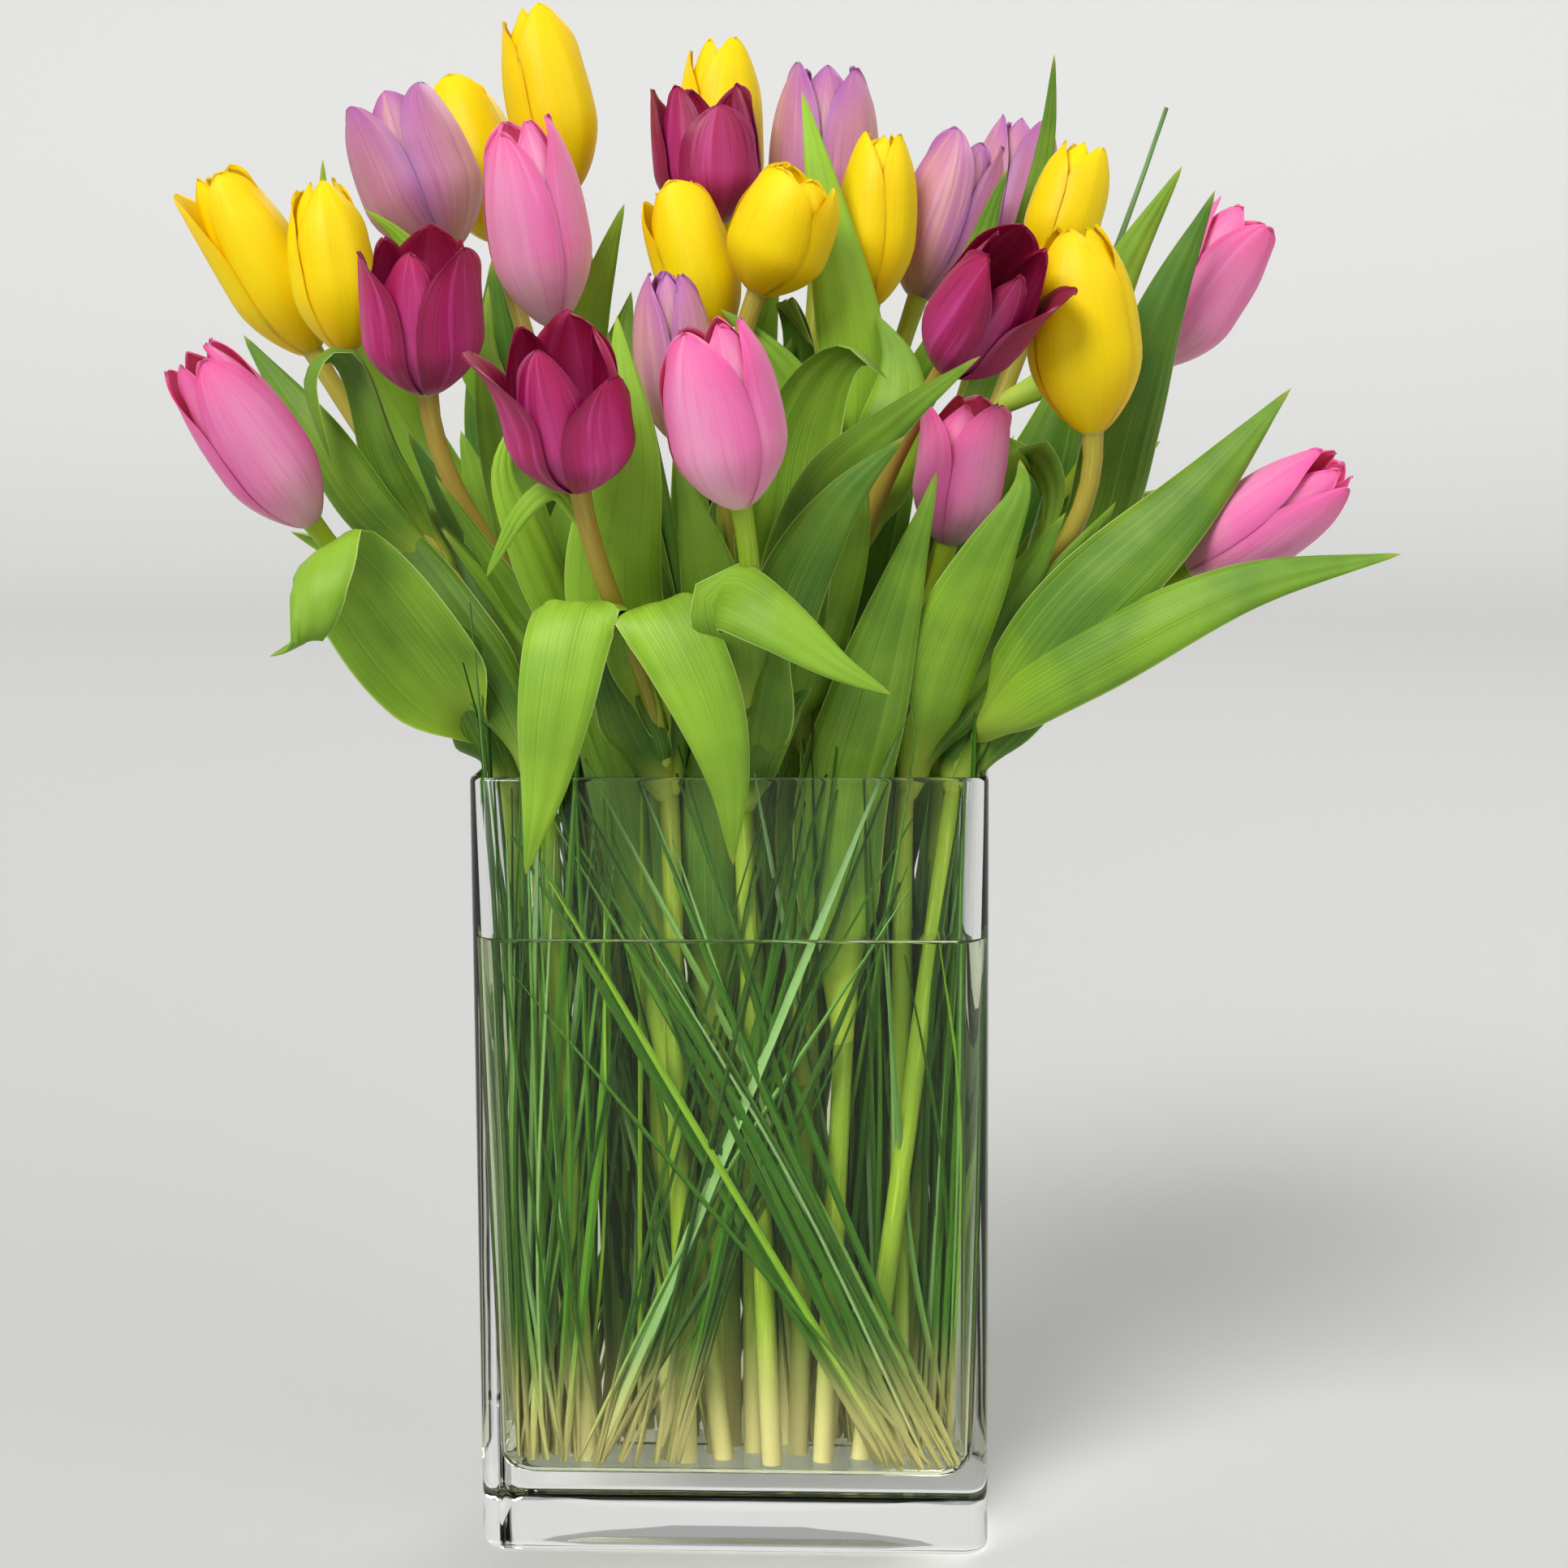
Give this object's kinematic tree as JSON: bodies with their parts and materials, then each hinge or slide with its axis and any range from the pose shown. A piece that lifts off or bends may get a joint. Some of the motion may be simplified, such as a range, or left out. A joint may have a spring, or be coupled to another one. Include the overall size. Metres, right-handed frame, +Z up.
{
  "type": "tulips in a vase",
  "caption": "Fan of yellow, pink, lilac and burgundy tulips with bear grass, standing in a rectangular clear glass vase of water.",
  "frame": {"origin": "centre of the vase's flat foot", "axes": "+Z up, +X along the vase's long side, -Y towards the front of the bunch"},
  "size_m": [0.3787, 0.2473, 0.4956],
  "materials": {
    "vase_glass": "clear, polished",
    "water": "clear water",
    "tulip_green": "waxy, finely ribbed",
    "bear_grass": "satin",
    "yellow_petal": "satin, finely veined",
    "pink_petal": "satin, finely veined",
    "lilac_petal": "satin, finely veined",
    "burgundy_petal": "satin, finely veined"
  },
  "bodies": {
    "root": {"vase": "vase_glass", "water": "water", "stem_yellow_01": "tulip_green", "stem_yellow_02": "tulip_green", "stem_yellow_03": "tulip_green", "stem_yellow_04": "tulip_green", "stem_yellow_05": "tulip_green", "stem_yellow_06": "tulip_green", "stem_yellow_07": "tulip_green", "stem_yellow_08": "tulip_green", "stem_yellow_09": "tulip_green", "stem_yellow_10": "tulip_green", "stem_pink_01": "tulip_green", "stem_pink_02": "tulip_green", "stem_pink_03": "tulip_green", "stem_pink_04": "tulip_green", "stem_pink_05": "tulip_green", "stem_pink_06": "tulip_green", "stem_lilac_01": "tulip_green", "stem_lilac_02": "tulip_green", "stem_lilac_03": "tulip_green", "stem_lilac_04": "tulip_green", "stem_lilac_05": "tulip_green", "stem_burgundy_01": "tulip_green", "stem_burgundy_02": "tulip_green", "stem_burgundy_03": "tulip_green", "stem_burgundy_04": "tulip_green", "bloom_yellow_01": "yellow_petal", "bloom_yellow_02": "yellow_petal", "bloom_yellow_03": "yellow_petal", "bloom_yellow_04": "yellow_petal", "bloom_yellow_05": "yellow_petal", "bloom_yellow_06": "yellow_petal", "bloom_yellow_07": "yellow_petal", "bloom_yellow_08": "yellow_petal", "bloom_yellow_09": "yellow_petal", "bloom_yellow_10": "yellow_petal", "bloom_pink_01": "pink_petal", "bloom_pink_02": "pink_petal", "bloom_pink_03": "pink_petal", "bloom_pink_04": "pink_petal", "bloom_pink_05": "pink_petal", "bloom_pink_06": "pink_petal", "bloom_lilac_01": "lilac_petal", "bloom_lilac_02": "lilac_petal", "bloom_lilac_03": "lilac_petal", "bloom_lilac_04": "lilac_petal", "bloom_lilac_05": "lilac_petal", "bloom_burgundy_01": "burgundy_petal", "bloom_burgundy_02": "burgundy_petal", "bloom_burgundy_03": "burgundy_petal", "bloom_burgundy_04": "burgundy_petal", "grass_left_diagonal": "bear_grass", "grass_right_diagonal": "bear_grass", "grass_left": "bear_grass", "grass_right": "bear_grass", "grass_middle": "bear_grass", "grass_back_left": "bear_grass", "grass_tall": "bear_grass"}
  },
  "joints": []
}
